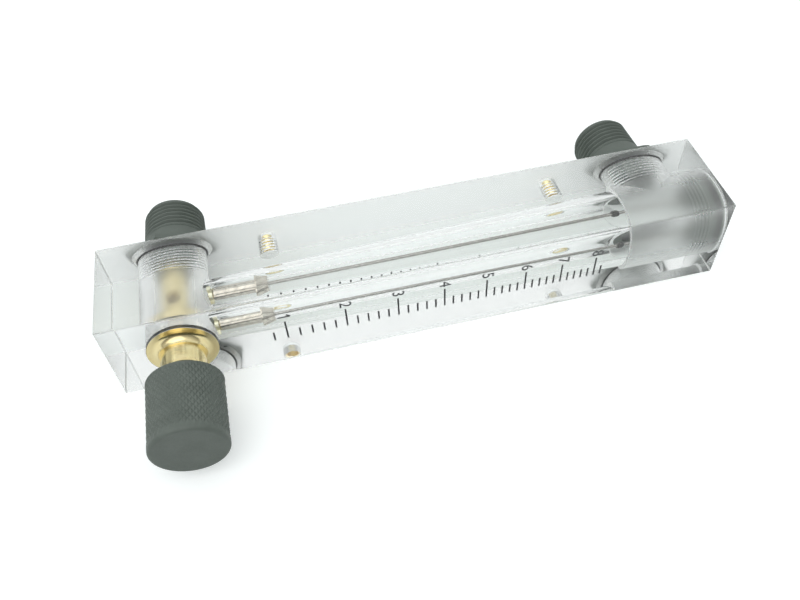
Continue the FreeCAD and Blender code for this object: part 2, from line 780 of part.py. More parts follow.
def make_pieces():
    pieces = [
        make_block(),
        make_inserts(),
        make_fitting("inlet_fitting", "inlet_x", "inlet_hex_turn"),
        make_fitting("outlet_fitting", "outlet_x", "outlet_hex_turn"),
        make_port_ring("inlet_o_ring", "inlet_x"),
        make_port_ring("outlet_o_ring", "outlet_x"),
        make_bonnet(),
        make_valve_seat(),
        make_stem(),
        make_stem_stop(),
        make_knob(),
        make_set_screw(),
        make_end_plug(),
        make_rod(),
        make_rod_guide(),
        make_float(),
        make_upper_stop(),
    ]
    return pieces + make_groove_rings()


def check_document():
    """Stop if any object failed, or if a cut took nothing away."""
    for thing in DOC.Objects:
        if "Invalid" in thing.State or "Error" in thing.State:
            raise RuntimeError("%s failed: %s" % (thing.Name, thing.State))
        if thing.TypeId in ("PartDesign::Pocket", "PartDesign::Groove"):
            before = thing.BaseFeature.Shape.Volume
            if thing.Shape.Volume > before - 1e-6:
                raise RuntimeError("%s cuts nothing" % thing.Name)


def export(pieces):
    """Write each piece to its own STEP file, named by its label."""
    os.makedirs("parts", exist_ok=True)
    for piece in pieces:
        shape = piece.Shape
        if shape.isNull() or not shape.isValid():
            raise RuntimeError("%s has no valid shape" % piece.Label)
        shape.exportStep("parts/%s.step" % piece.Label)
        box = shape.BoundBox
        print("%-22s %2d solid %10.2f mm3  x %8.3f %8.3f  y %8.3f %8.3f  z %7.3f %7.3f" % (
            piece.Label, len(shape.Solids), shape.Volume,
            box.XMin, box.XMax, box.YMin, box.YMax, box.ZMin, box.ZMax))


fill_sheet()
PIECES = make_pieces()
DOC.recompute()
check_document()
export(PIECES)
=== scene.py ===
"""Looks of a clear block flow meter: finishes, thread ridges, knurling and the printed scale."""

import math

import bmesh
import bpy
from mathutils import Matrix, Vector


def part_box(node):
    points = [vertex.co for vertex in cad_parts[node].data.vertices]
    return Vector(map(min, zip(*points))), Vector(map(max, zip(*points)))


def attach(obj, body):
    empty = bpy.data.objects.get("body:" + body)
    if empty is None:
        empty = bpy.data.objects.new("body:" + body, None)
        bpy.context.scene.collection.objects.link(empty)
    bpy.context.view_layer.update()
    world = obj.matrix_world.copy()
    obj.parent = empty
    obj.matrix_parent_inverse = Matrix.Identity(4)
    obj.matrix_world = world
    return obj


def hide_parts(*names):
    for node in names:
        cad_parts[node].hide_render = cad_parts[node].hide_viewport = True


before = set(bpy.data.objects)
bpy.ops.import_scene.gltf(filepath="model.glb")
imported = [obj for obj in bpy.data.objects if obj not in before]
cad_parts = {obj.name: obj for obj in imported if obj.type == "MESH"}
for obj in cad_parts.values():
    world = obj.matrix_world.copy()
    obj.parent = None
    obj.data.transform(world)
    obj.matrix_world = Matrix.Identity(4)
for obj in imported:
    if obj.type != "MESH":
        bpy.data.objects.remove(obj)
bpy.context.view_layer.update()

MM = 0.001
TURN = 2 * math.pi


def middle(node):
    low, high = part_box(node)
    return (low + high) / 2


block_low, block_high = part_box("block")
inlet_x = middle("inlet_fitting").x
outlet_x = middle("outlet_fitting").x
bore_y = middle("guide_rod").y
axis_z = middle("guide_rod").z
front_y = block_low.y
back_y = block_high.y

PORT_RADIUS = 11.1 * MM
PORT_PITCH = 1.27 * MM
PORT_TAPPED = 12.6 * MM
COUNTERSINK = 2.1 * MM
END_TAPPED = 11.6 * MM
END_PLAIN = 4.4 * MM
SHOULDER_FROM_OUTLET_END = 32.8 * MM
PIPE_PITCH = 1.814 * MM
INSERT_HOLE_RADIUS = 3.15 * MM
INSERT_HOLE_DEPTH = 9 * MM
EDGE_REACH = 0.31 * MM
FLANGE_FACE = front_y + 0.1 * MM


# --- Node building -----------------------------------------------------------------------------


class Nodes:
    """Adds nodes to one tree; sockets and plain numbers can be mixed as inputs."""

    def __init__(self, tree):
        self.tree = tree

    def feed(self, socket, value):
        if isinstance(value, bpy.types.NodeSocket):
            self.tree.links.new(value, socket)
        else:
            socket.default_value = value

    def add(self, kind, inputs=(), **settings):
        node = self.tree.nodes.new("ShaderNode" + kind)
        for name, value in settings.items():
            setattr(node, name, value)
        for name, value in dict(inputs).items():
            self.feed(node.inputs[name], value)
        return node

    def math(self, operation, *values, clamp=False):
        node = self.add("Math", operation=operation, use_clamp=clamp)
        for socket, value in zip(node.inputs, values):
            self.feed(socket, value)
        return node.outputs[0]

    def ramp(self, value, low, high, to_low=0.0, to_high=1.0):
        """The value from low to high becomes to_low to to_high, smoothly and held at the ends."""
        inputs = {
            "Value": value,
            "From Min": low,
            "From Max": high,
            "To Min": to_low,
            "To Max": to_high,
        }
        return self.add("MapRange", inputs, interpolation_type="SMOOTHSTEP").outputs[0]

    def blend(self, share, first, second):
        node = self.add("Mix", data_type="RGBA")
        for name, value in (("Factor", share), ("A", first), ("B", second)):
            sockets = [s for s in node.inputs if s.name == name and s.enabled]
            self.feed(sockets[0], value)
        return [s for s in node.outputs if s.enabled][0]

    def noise(self, place, scale, detail=2.0, roughness=0.5):
        inputs = {"Vector": place, "Scale": scale, "Detail": detail, "Roughness": roughness}
        return self.add("TexNoise", inputs).outputs[0]

    def split(self, place):
        node = self.add("SeparateXYZ", {"Vector": place})
        return node.outputs[0], node.outputs[1], node.outputs[2]

    def join(self, x, y, z):
        return self.add("CombineXYZ", {"X": x, "Y": y, "Z": z}).outputs[0]

    def bump(self, height, distance, strength=1.0, normal=None):
        node = self.add("Bump", {"Height": height, "Distance": distance, "Strength": strength})
        if normal:
            self.feed(node.inputs["Normal"], normal)
        return node.outputs[0]

    def group(self, tree, inputs):
        node = self.tree.nodes.new("ShaderNodeGroup")
        node.node_tree = tree
        for name, value in inputs.items():
            self.feed(node.inputs[name], value)
        return node.outputs


def new_group(name, inputs, outputs):
    """An empty node group; inputs and outputs are pairs of a socket's name and its kind."""
    tree = bpy.data.node_groups.new(name, "ShaderNodeTree")
    for direction, sockets in (("INPUT", inputs), ("OUTPUT", outputs)):
        for socket, kind in sockets:
            tree.interface.new_socket(
                name=socket, in_out=direction, socket_type="NodeSocket" + kind
            )
    entry = tree.nodes.new("NodeGroupInput")
    leave = tree.nodes.new("NodeGroupOutput")
    return tree, Nodes(tree), entry.outputs, leave.inputs


def new_material(name):
    material = bpy.data.materials.new(name)
    material.use_nodes = True
    nodes = Nodes(material.node_tree)
    shader = material.node_tree.nodes["Principled BSDF"]
    place = nodes.add("TexCoord").outputs["Object"]
    return material, nodes, shader, place


def from_axis(nodes, across, up):
    """The distance from an axis, from the two distances square to it."""
    squares = [nodes.math("MULTIPLY", side, side) for side in (across, up)]
    return nodes.math("SQRT", nodes.math("ADD", *squares))


def make_drilled_wall_group():
    """Where a drilled and tapped wall runs round an axis: its mask, thread ridges and tool marks.

    The wall may flare past the end of its thread, as at a countersink.
    """
    inputs = [
        ("Along", "Float"),
        ("Across", "Float"),
        ("Up", "Float"),
        ("Radius", "Float"),
        ("Start", "Float"),
        ("End", "Float"),
        ("Thread Start", "Float"),
        ("Thread End", "Float"),
        ("Flare", "Float"),
    ]
    outputs = [("Wall", "Float"), ("Ridge", "Float"), ("Marks", "Float")]
    tree, nodes, given, result = new_group("drilled_wall", inputs, outputs)
    across, up, along = given["Across"], given["Up"], given["Along"]
    beyond = nodes.math("SUBTRACT", from_axis(nodes, across, up), given["Radius"])
    flared = nodes.math("GREATER_THAN", along, given["Thread End"])
    reach = nodes.math("ADD", 0.2 * MM, nodes.math("MULTIPLY", flared, given["Flare"]))
    near = nodes.math("LESS_THAN", beyond, reach)
    after = nodes.math("GREATER_THAN", along, given["Start"])
    before = nodes.math("LESS_THAN", along, given["End"])
    wall = nodes.math("MULTIPLY", near, nodes.math("MULTIPLY", after, before))
    turn = nodes.math("DIVIDE", nodes.math("ARCTAN2", up, across), TURN)
    turns = nodes.math("ADD", nodes.math("DIVIDE", along, PORT_PITCH), turn)
    saw = nodes.math("MULTIPLY", nodes.math("FRACT", turns), 2.0)
    ridge = nodes.math("ABSOLUTE", nodes.math("SUBTRACT", saw, 1.0))
    rise = nodes.ramp(nodes.math("SUBTRACT", along, given["Thread Start"]), 0.0, 0.8 * MM)
    fall = nodes.ramp(nodes.math("SUBTRACT", given["Thread End"], along), 0.0, 0.8 * MM)
    tapped = nodes.math("MULTIPLY", wall, nodes.math("MULTIPLY", rise, fall))
    nodes.feed(result["Wall"], wall)
    nodes.feed(result["Ridge"], nodes.math("MULTIPLY", ridge, tapped))
    rings = nodes.noise(nodes.join(along, nodes.math("MULTIPLY", turn, 2 * MM), 0.0), 5200.0, 3.0)
    nodes.feed(result["Marks"], nodes.math("MULTIPLY", rings, wall))
    return tree


def make_turned_group():
    """Fine rings that a lathe tool leaves round an axis, with faint scatter along them."""
    inputs = [("Along", "Float"), ("Across", "Float"), ("Up", "Float"), ("Spacing", "Float")]
    outputs = [("Height", "Float"), ("Shade", "Float")]
    tree, nodes, given, result = new_group("turned_marks", inputs, outputs)
    across, up, along = given["Across"], given["Up"], given["Along"]
    radius = from_axis(nodes, across, up)
    path = nodes.math("DIVIDE", nodes.math("ADD", along, radius), given["Spacing"])
    turn = nodes.math("ARCTAN2", up, across)
    place = nodes.join(path, nodes.math("MULTIPLY", turn, 0.35), 0.0)
    nodes.feed(result["Height"], nodes.noise(place, 1.0, 3.0))
    broad = nodes.join(nodes.math("MULTIPLY", path, 0.06), turn, 0.0)
    nodes.feed(result["Shade"], nodes.noise(broad, 1.4, 2.0))
    return tree


def make_grain_group():
    """Fine grain and slow blotches of a moulded or blackened surface."""
    inputs = [("Place", "Vector"), ("Grain", "Float"), ("Blotch", "Float")]
    outputs = [("Fine", "Float"), ("Broad", "Float")]
    tree, nodes, given, result = new_group("surface_grain", inputs, outputs)
    nodes.feed(result["Fine"], nodes.noise(given["Place"], given["Grain"], 3.0, 0.6))
    nodes.feed(result["Broad"], nodes.noise(given["Place"], given["Blotch"], 2.0))
    return tree


drilled_wall = make_drilled_wall_group()
turned_marks = make_turned_group()
surface_grain = make_grain_group()


# --- Materials ---------------------------------------------------------------------------------


def let_light_through(nodes, shader, tint):
    """Lamps and soft light pass the clear block, so the pieces inside are lit."""
    light = nodes.add("LightPath").outputs
    share = nodes.math("MAXIMUM", light["Is Shadow Ray"], light["Is Diffuse Ray"])
    clear = nodes.add("BsdfTransparent", {"Color": tint}).outputs[0]
    mix = nodes.add("MixShader", {0: share, 1: shader.outputs[0], 2: clear}).outputs[0]
    nodes.feed(nodes.tree.nodes["Material Output"].inputs["Surface"], mix)


def make_acrylic():
    """Clear acrylic: polished outside and in the metering bore, frosted where drilled or tapped.

    The back face is left as the saw cut it. Each wall has its own dullness and height of thread.
    """
    material, nodes, shader, place = new_material("clear_acrylic")
    x, y, z = nodes.split(place)
    up = nodes.math("SUBTRACT", z, axis_z)
    skin = 0.02 * MM
    inlet = {
        "Along": y,
        "Across": nodes.math("SUBTRACT", x, inlet_x),
        "Up": up,
        "Radius": PORT_RADIUS,
        "Start": front_y + skin,
        "End": back_y - skin,
        "Thread Start": back_y - PORT_TAPPED,
        "Thread End": back_y - COUNTERSINK,
        "Flare": COUNTERSINK + 0.1 * MM,
    }
    outlet = dict(inlet)
    outlet["Across"] = nodes.math("SUBTRACT", x, outlet_x)
    outlet["Start"] = bore_y - 0.5 * MM
    end_bore = dict(inlet)
    end_bore["Along"] = x
    end_bore["Across"] = nodes.math("SUBTRACT", y, bore_y)
    end_bore["Start"] = block_high.x - SHOULDER_FROM_OUTLET_END - 0.3 * MM
    end_bore["End"] = block_high.x - skin
    end_bore["Thread Start"] = block_high.x - END_TAPPED
    end_bore["Thread End"] = block_high.x - END_PLAIN
    end_bore["Flare"] = 1.0 * MM
    walls = [(inlet, 0.5, 1.0), (outlet, 0.62, 0.6), (end_bore, 0.75, 0.4)]
    for insert_x in insert_places():
        hole = dict(inlet)
        hole["Across"] = nodes.math("SUBTRACT", x, insert_x)
        hole["Radius"] = INSERT_HOLE_RADIUS
        hole["Start"] = back_y - INSERT_HOLE_DEPTH
        hole["Flare"] = 0.0
        walls.append((hole, 0.2, 1.0))
    sawn = nodes.math("GREATER_THAN", y, back_y - skin)
    edges = nodes.math("MULTIPLY", broken_edges(nodes, x, y, z), 0.7)
    rough = nodes.math("MAXIMUM", sawn, edges)
    ridge, marks = 0.0, 0.0
    for bore, dullness, height in walls:
        wall = nodes.group(drilled_wall, bore)
        rough = nodes.math("MAXIMUM", nodes.math("MULTIPLY", wall["Wall"], dullness), rough)
        ridge = nodes.math("MAXIMUM", nodes.math("MULTIPLY", wall["Ridge"], height), ridge)
        marks = nodes.math("MAXIMUM", wall["Marks"], marks)
    threads = nodes.bump(ridge, 0.28 * MM)
    nodes.feed(shader.inputs["Roughness"], rough)
    nodes.feed(shader.inputs["Normal"], nodes.bump(marks, 0.005 * MM, 1.0, threads))
    nodes.feed(shader.inputs["Base Color"], (0.985, 0.995, 0.99, 1.0))
    shader.inputs["IOR"].default_value = 1.49
    shader.inputs["Transmission Weight"].default_value = 1.0
    let_light_through(nodes, shader, (0.93, 0.94, 0.93, 1.0))
    return material


def broken_edges(nodes, x, y, z):
    """1 on the small flats that are filed along the block's outer edges, else 0."""
    close = []
    for part, low, high in zip((x, y, z), block_low, block_high):
        half, centre = (high - low) / 2, (high + low) / 2
        out = nodes.math("ABSOLUTE", nodes.math("SUBTRACT", part, centre))
        close.append(nodes.math("GREATER_THAN", out, half - EDGE_REACH))
    count = nodes.math("ADD", nodes.math("ADD", close[0], close[1]), close[2])
    return nodes.math("GREATER_THAN", count, 1.5)


def insert_places():
    """The x of each threaded insert: the two ends of their node, one radius in."""
    low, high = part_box("mounting_inserts")
    radius = (high.z - low.z) / 2
    return low.x + radius, high.x - radius


def turned(nodes, place, centre, along, spacing):
    """Lathe marks round an axis through centre; along is 0 for X, 1 for Y and 2 for Z."""
    parts = nodes.split(place)
    shifted = [nodes.math("SUBTRACT", part, centre[n]) for n, part in enumerate(parts)]
    sides = [part for n, part in enumerate(shifted) if n != along]
    inputs = {"Along": parts[along], "Across": sides[0], "Up": sides[1], "Spacing": spacing}
    return nodes.group(turned_marks, inputs)


def make_metal(name, colour, dark, roughness, centre, along, spacing=0.12 * MM):
    """A turned metal piece: its rings catch the light, and its tone drifts between two colours."""
    depth = 0.004 * MM
    material, nodes, shader, place = new_material(name)
    marks = turned(nodes, place, centre, along, spacing)
    shade = nodes.ramp(marks["Shade"], 0.3, 0.7)
    nodes.feed(shader.inputs["Base Color"], nodes.blend(shade, dark, colour))
    rough = nodes.ramp(marks["Height"], 0.2, 0.8, roughness * 0.75, roughness * 1.3)
    nodes.feed(shader.inputs["Roughness"], rough)
    nodes.feed(shader.inputs["Normal"], nodes.bump(marks["Height"], depth))
    shader.inputs["Metallic"].default_value = 1.0
    return material


def make_moulded(name, colour, pale, roughness):
    """Moulded plastic or rubber: even, with a fine grain and slightly paler blotches."""
    grain, depth = 2600.0, 0.012 * MM
    material, nodes, shader, place = new_material(name)
    look = nodes.group(surface_grain, {"Place": place, "Grain": grain, "Blotch": 180.0})
    share = nodes.ramp(look["Broad"], 0.3, 0.7)
    nodes.feed(shader.inputs["Base Color"], nodes.blend(share, colour, pale))
    rough = nodes.ramp(look["Fine"], 0.3, 0.7, roughness * 0.85, roughness * 1.15)
    nodes.feed(shader.inputs["Roughness"], rough)
    nodes.feed(shader.inputs["Normal"], nodes.bump(look["Fine"], depth))
    return material


def paint(node, material):
    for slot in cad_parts[node].material_slots:
        slot.material = material


def finish_solids():
    """Every solid that stays visible gets its own finish."""
    valve = (inlet_x, 0.0, axis_z)
    rod = (0.0, bore_y, axis_z)
    insert = (insert_places()[0], 0.0, axis_z)
    brass = (0.92, 0.8, 0.46, 1.0)
    dull_brass = (0.84, 0.7, 0.37, 1.0)
    pale_brass = (0.85, 0.84, 0.66, 1.0)
    grey_brass = (0.78, 0.76, 0.6, 1.0)
    steel = (0.66, 0.62, 0.55, 1.0)
    dull_steel = (0.5, 0.46, 0.4, 1.0)
    rod_steel = (0.44, 0.43, 0.41, 1.0)
    dark_rod_steel = (0.32, 0.31, 0.29, 1.0)
    metals = {
        "valve_bonnet": ("turned_brass", brass, dull_brass, 0.2, valve, 1),
        "valve_stem": ("ground_stem", steel, dull_steel, 0.25, valve, 1),
        "float": ("turned_float", steel, dull_steel, 0.14, rod, 0),
        "guide_rod": ("drawn_rod", rod_steel, dark_rod_steel, 0.12, rod, 0),
        "rod_guide": ("spider_brass", pale_brass, grey_brass, 0.4, rod, 0),
        "mounting_inserts": ("insert_brass", brass, dull_brass, 0.3, insert, 1, 0.4 * MM),
        "stem_retaining_ring": ("spring_steel", dull_steel, dull_steel, 0.35, valve, 1),
        "knob_set_screw": ("screw_steel", dull_steel, dull_steel, 0.4, valve, 1),
    }
    paint("block", make_acrylic())
    for node, finish in metals.items():
        paint(node, make_metal(*finish))
    rubber = make_moulded("seal_rubber", (0.012, 0.013, 0.013, 1), (0.022, 0.023, 0.022, 1), 0.5)
    stop = make_moulded("stop_plastic", (0.02, 0.02, 0.02, 1), (0.035, 0.035, 0.03, 1), 0.4)
    seat = make_moulded("seat_plastic", (0.8, 0.8, 0.76, 1), (0.86, 0.86, 0.83, 1), 0.45)
    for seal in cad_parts:
        if seal.endswith("o_ring"):
            paint(seal, rubber)
    paint("upper_float_stop", stop)
    paint("valve_seat", seat)
    paint("end_plug", black)
    return rubber


black = make_moulded("satin_black", (0.096, 0.116, 0.1, 1), (0.112, 0.134, 0.117, 1), 0.5)
rubber = finish_solids()


# --- Turned shapes -----------------------------------------------------------------------------


def lathe(profile, steps):
    """A closed turned mesh from (radius, height) points, about the Z axis."""
    mesh = bmesh.new()
    points = [mesh.verts.new((radius, 0.0, height)) for radius, height in profile]
    edges = [mesh.edges.new(pair) for pair in zip(points, points[1:] + points[:1])]
    bmesh.ops.spin(
        mesh,
        geom=points + edges,
        axis=(0.0, 0.0, 1.0),
        cent=(0.0, 0.0, 0.0),
        angle=TURN,
        steps=steps,
        use_merge=True,
    )
    bmesh.ops.remove_doubles(mesh, verts=mesh.verts, dist=0.001 * MM)
    loose = [edge for edge in mesh.edges if not edge.link_faces]
    bmesh.ops.delete(mesh, geom=loose, context="EDGES")
    bmesh.ops.recalc_face_normals(mesh, faces=mesh.faces)
    return mesh


def set_radius(vert, radius):
    scale = radius / math.hypot(vert.co.x, vert.co.y)
    vert.co.x *= scale
    vert.co.y *= scale


def steps_between(start, end, count):
    return [start + (end - start) * n / count for n in range(count + 1)]


def cut_ridges(mesh, start, end, pitch, depth, floor, fade):
    """Sink a helical thread into a turned surface between two heights, outside a floor radius."""
    for vert in mesh.verts:
        radius = math.hypot(vert.co.x, vert.co.y)
        height = vert.co.z
        if radius < floor or not start < height < end:
            continue
        turn = math.atan2(vert.co.y, vert.co.x) / TURN
        wave = abs((height / pitch - turn) % 1.0 * 2 - 1)
        groove = min(1.0, max(0.0, wave * 1.3 - 0.2))
        share = min(1.0, (height - start) / fade, (end - height) / (0.3 * fade))
        set_radius(vert, radius - depth * groove * share)


def soften(mesh, angle):
    """Smooth shading, with an edge kept sharp where its faces meet at more than the angle."""
    for face in mesh.faces:
        face.smooth = True
    for edge in mesh.edges:
        edge.smooth = len(edge.link_faces) == 2 and edge.calc_face_angle() < angle


def make_piece(name, mesh, place, material, body, angle=math.radians(35)):
    """Put a finished mesh in its place as a piece of its own."""
    bmesh.ops.transform(mesh, matrix=place, verts=mesh.verts)
    soften(mesh, angle)
    data = bpy.data.meshes.new(name)
    mesh.to_mesh(data)
    mesh.free()
    piece = bpy.data.objects.new(name, data)
    bpy.context.scene.collection.objects.link(piece)
    data.materials.append(material)
    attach(piece, body)
    return piece


def shape_of(thing):
    """The mesh that an object's curve or modifiers come to."""
    bpy.context.view_layer.update()
    evaluated = thing.evaluated_get(bpy.context.evaluated_depsgraph_get())
    return bpy.data.meshes.new_from_object(evaluated)


def bore_hole(mesh, radius, centre, length):
    """The mesh with a round hole bored through it along Y."""
    cutter = bmesh.new()
    upright = Matrix.Translation(centre) @ Matrix.Rotation(TURN / 4, 4, "X")
    bmesh.ops.create_cone(
        cutter,
        cap_ends=True,
        segments=48,
        radius1=radius,
        radius2=radius,
        depth=length,
        matrix=upright,
    )
    pieces = []
    for name, shape in (("bored", mesh), ("drill", cutter)):
        data = bpy.data.meshes.new(name)
        shape.to_mesh(data)
        shape.free()
        piece = bpy.data.objects.new(name, data)
        bpy.context.scene.collection.objects.link(piece)
        pieces.append(piece)
    bored, drill = pieces
    cut = bored.modifiers.new("hole", "BOOLEAN")
    cut.operation = "DIFFERENCE"
    cut.solver = "EXACT"
    cut.object = drill
    shape = shape_of(bored)
    result = bmesh.new()
    result.from_mesh(shape)
    for piece in pieces:
        data = piece.data
        bpy.data.objects.remove(piece)
        bpy.data.meshes.remove(data)
    bpy.data.meshes.remove(shape)
    return result


def make_pipe_fitting(node, x, hex_turn):
    """Male pipe adapter: seal neck, hexagon cut from a turned flange, collar and real threads."""
    low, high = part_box(node)
    length = high.y - low.y
    tail, neck, tail_end = 11.0 * MM, 9.65 * MM, 4.4 * MM
    hex_start, hex_end, flats, chamfer = 6.6 * MM, 9.6 * MM, 13.5 * MM, 0.4 * MM
    corner = flats / math.cos(math.pi / 6)
    seat, relief = 12.9 * MM, 1.4 * MM
    collar, collar_end = 10.45 * MM, 17.6 * MM
    crest_start, crest_end, mouth = 10.55 * MM, 10.2 * MM, 0.7 * MM
    bore = 7.0 * MM
    profile = [(bore, 0.0), (tail - 0.5 * MM, 0.0)]
    profile += [(tail, height) for height in steps_between(0.5 * MM, tail_end, 30)]
    profile += [(neck, tail_end), (neck, hex_start), (seat, hex_start)]
    profile.append((corner, hex_start + relief))
    profile += [(corner, hex_end - chamfer), (corner - 2 * chamfer, hex_end)]
    profile += [(collar, hex_end), (collar, collar_end)]
    thread_end = length - mouth
    rows = steps_between(collar_end, thread_end, 84)
    for height in rows:
        share = (height - collar_end) / (thread_end - collar_end)
        profile.append((crest_start + (crest_end - crest_start) * share, height))
    profile += [(crest_end - mouth, length), (bore, length)]
    mesh = lathe(profile, 96)
    for side in range(6):
        turn = math.radians(60 * side + 30)
        outward = Vector((math.cos(turn), math.sin(turn), 0.0))
        cut = bmesh.ops.bisect_plane(
            mesh,
            geom=mesh.verts[:] + mesh.edges[:] + mesh.faces[:],
            plane_co=outward * flats,
            plane_no=outward,
            clear_outer=True,
        )
        rim = [item for item in cut["geom_cut"] if isinstance(item, bmesh.types.BMEdge)]
        bmesh.ops.edgeloop_fill(mesh, edges=rim)
    bmesh.ops.recalc_face_normals(mesh, faces=mesh.faces)
    pipe_floor, tail_floor = 9.4 * MM, 10.6 * MM
    cut_ridges(mesh, collar_end, length, PIPE_PITCH, 1.05 * MM, pipe_floor, 1.2 * MM)
    cut_ridges(mesh, 0.0, tail_end + 0.01 * MM, PORT_PITCH, 0.6 * MM, tail_floor, 0.3 * MM)
    stand = Matrix.Translation((x, low.y, axis_z)) @ Matrix.Rotation(-TURN / 4, 4, "X")
    place = stand @ Matrix.Rotation(hex_turn, 4, "Z")
    piece = make_piece("threaded_" + node, mesh, place, black, "housing")
    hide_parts(node)


def make_knob():
    """Knurled knob: rows of four-sided points between a plain back edge and a rounded front."""
    low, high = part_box("knob")
    length = high.y - low.y
    radius = 11.7 * MM
    round_off, back_chamfer = 1.1 * MM, 0.4 * MM
    recess, recess_depth = 7.7 * MM, 2.0 * MM
    bore, bore_depth = 3.185 * MM, 17.5 * MM
    columns, rows, depth = 84, 18, 0.36 * MM
    first, last = 0.8 * MM, length - 2.8 * MM
    profile = [(bore, recess_depth), (recess, recess_depth), (recess, 0.0)]
    profile += [(radius - back_chamfer, 0.0), (radius, back_chamfer)]
    profile += [(radius, height) for height in steps_between(first, last, rows)]
    for turn in steps_between(0.0, TURN / 4, 6):
        across = radius - round_off + round_off * math.cos(turn)
        profile.append((across, length - round_off + round_off * math.sin(turn)))
    profile += [(radius - round_off - 0.2 * MM, length), (0.0, length)]
    profile += [(0.0, bore_depth), (bore, bore_depth)]
    mesh = lathe(profile, columns)
    pitch = (last - first) / rows
    valleys = set()
    for vert in mesh.verts:
        if math.hypot(vert.co.x, vert.co.y) < radius - 0.01 * MM:
            continue
        row = (vert.co.z - first) / pitch
        if row < -0.01 or row > rows + 0.01:
            continue
        column = round(math.atan2(vert.co.y, vert.co.x) / TURN * columns)
        if (column + round(row)) % 2:
            valleys.add(vert)
    for face in mesh.faces[:]:
        low_corners = [vert for vert in face.verts if vert in valleys]
        if len(face.verts) == 4 and len(low_corners) == 2:
            bmesh.utils.face_split(face, *low_corners)
    for vert in valleys:
        set_radius(vert, radius - depth)
    screw_radius, screw_place = 2.0 * MM, Vector((0.0, -7.5 * MM, 9.0 * MM))
    mesh = bore_hole(mesh, screw_radius, screw_place, 10 * MM)
    place = Matrix.Translation((inlet_x, high.y, axis_z)) @ Matrix.Rotation(TURN / 4, 4, "X")
    crisp = math.radians(24)
    piece = make_piece("knurled_knob", mesh, place, black, "valve_spindle", crisp)
    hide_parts("knob")


def make_neck_flare():
    """Hollow curve that blends the bonnet's neck into its flange."""
    neck, flare, bite = 7.0 * MM, 2.4 * MM, 0.3 * MM
    profile = [(neck - bite, -bite), (neck + flare, -bite), (neck + flare, 0.0)]
    for turn in steps_between(0.0, TURN / 4, 12)[1:]:
        across = neck + flare * (1 - math.sin(turn))
        profile.append((across, flare * (1 - math.cos(turn))))
    profile.append((neck - bite, flare))
    mesh = lathe(profile, 96)
    place = Matrix.Translation((inlet_x, FLANGE_FACE, axis_z)) @ Matrix.Rotation(TURN / 4, 4, "X")
    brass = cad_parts["valve_bonnet"].material_slots[0].material
    make_piece("bonnet_neck_flare", mesh, place, brass, "housing")


def make_pressed_seal(node):
    """Seal ring squeezed flat against the port's countersink, which leans half a right angle."""
    low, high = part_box(node)
    lean, reach = TURN / 8, 1.16 * MM
    section, shift, spread = 0.9 * MM, 0.2 * MM, 0.14 * MM
    mean = (high.z - low.z) / 2 - section
    profile = []
    for turn in steps_between(0.0, TURN, 48)[:-1]:
        out = shift + min((section + spread) * math.cos(turn), reach - shift)
        across = section * math.sin(turn)
        radius = mean + out * math.cos(lean) - across * math.sin(lean)
        profile.append((radius, out * math.sin(lean) + across * math.cos(lean)))
    mesh = lathe(profile, 128)
    place = Matrix.Translation((low + high) / 2) @ Matrix.Rotation(TURN / 4, 4, "X")
    piece = make_piece("pressed_" + node, mesh, place, rubber, "housing")
    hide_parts(node)


def make_bonnet_seal():
    """Seal behind the flange, squeezed against the wall, with a lip pressed out past the flange."""
    low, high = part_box("bonnet_o_ring")
    bite = 0.03 * MM
    inner, outer = (high.z - low.z) / 2 - 1.75 * MM, PORT_RADIUS + bite
    lip, lip_end = PORT_RADIUS - 0.08 * MM, FLANGE_FACE + 0.25 * MM
    front, back = FLANGE_FACE + 1.33 * MM, high.y
    profile = [(lip, lip_end), (outer, lip_end), (outer, back - 0.7 * MM)]
    profile += [(outer - 0.5 * MM, back), (inner, back), (inner, front), (lip, front)]
    mesh = lathe(profile, 128)
    place = Matrix.Translation((inlet_x, 0.0, axis_z)) @ Matrix.Rotation(-TURN / 4, 4, "X")
    piece = make_piece("pressed_bonnet_o_ring", mesh, place, rubber, "housing")
    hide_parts("bonnet_o_ring")


make_pipe_fitting("inlet_fitting", inlet_x, math.radians(17))
make_pipe_fitting("outlet_fitting", outlet_x, 0.0)
make_knob()
make_neck_flare()
make_pressed_seal("inlet_o_ring")
make_pressed_seal("outlet_o_ring")
make_bonnet_seal()


# --- Printed scale -----------------------------------------------------------------------------


def make_ink():
    """Matt black printing ink with a slightly uneven tone."""
    material, nodes, shader, place = new_material("printing_ink")
    look = nodes.group(surface_grain, {"Place": place, "Grain": 6000.0, "Blotch": 900.0})
    share = nodes.ramp(look["Fine"], 0.3, 0.8)
    tone = nodes.blend(share, (0.006, 0.006, 0.008, 1), (0.02, 0.02, 0.024, 1))
    nodes.feed(shader.inputs["Base Color"], tone)
    shader.inputs["Roughness"].default_value = 0.5
    return material


def mark_x(value):
    """Where a flow value stands along the block.

    The open ring round the float grows with the square of the bore's width, so on this tapered
    bore the marks draw together as the flow rises. The three numbers are fitted, in millimetres.
    """
    square_at_zero, square_per_unit, law_start = 10070, 5120, 68.3
    from_inlet_end = math.sqrt(square_at_zero + square_per_unit * value) - law_start
    return block_low.x + from_inlet_end * MM


def add_mark(mesh, low_x, high_x, low_z, high_z):
    """A printed bar, let a little into the front face; gives back its corners."""
    proud, sunk = 0.012 * MM, 0.03 * MM
    size = Vector((high_x - low_x, proud + sunk, high_z - low_z))
    centre = Vector(((low_x + high_x) / 2, front_y + (sunk - proud) / 2, (low_z + high_z) / 2))
    place = Matrix.Translation(centre) @ Matrix.Diagonal(size).to_4x4()
    return bmesh.ops.create_cube(mesh, size=1.0, matrix=place)["verts"]


